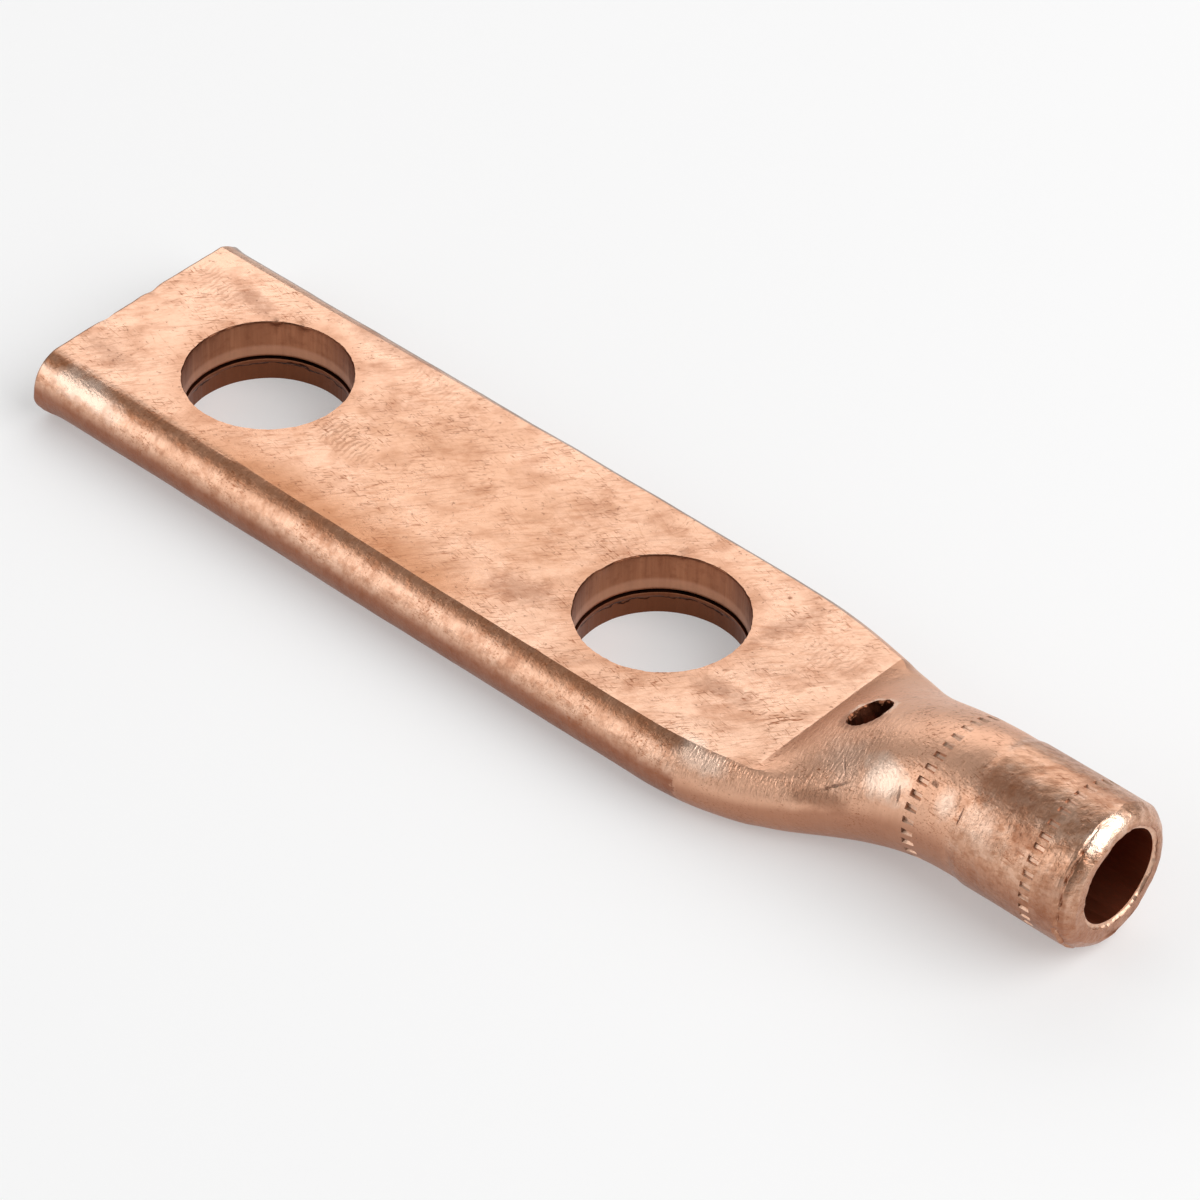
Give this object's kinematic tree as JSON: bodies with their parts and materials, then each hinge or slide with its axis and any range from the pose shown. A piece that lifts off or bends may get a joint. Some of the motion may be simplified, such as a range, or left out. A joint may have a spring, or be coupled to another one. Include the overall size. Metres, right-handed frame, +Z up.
{
  "type": "compression lug",
  "caption": "Copper cable lug in one piece: a flat tongue punched for studs, and a round barrel that is crimped on a conductor.",
  "frame": {"origin": "on the tongue's flat underside, midway between the centres of the stud holes", "axes": "+X along the lug from the tongue to the barrel's mouth, +Z up through the stud holes, +Y across the tongue"},
  "size_m": [0.1066, 0.025, 0.0132],
  "materials": {
    "copper": "bare tumbled copper, satin, with handling marks"
  },
  "bodies": {
    "root": {"lug": "copper"}
  },
  "joints": []
}
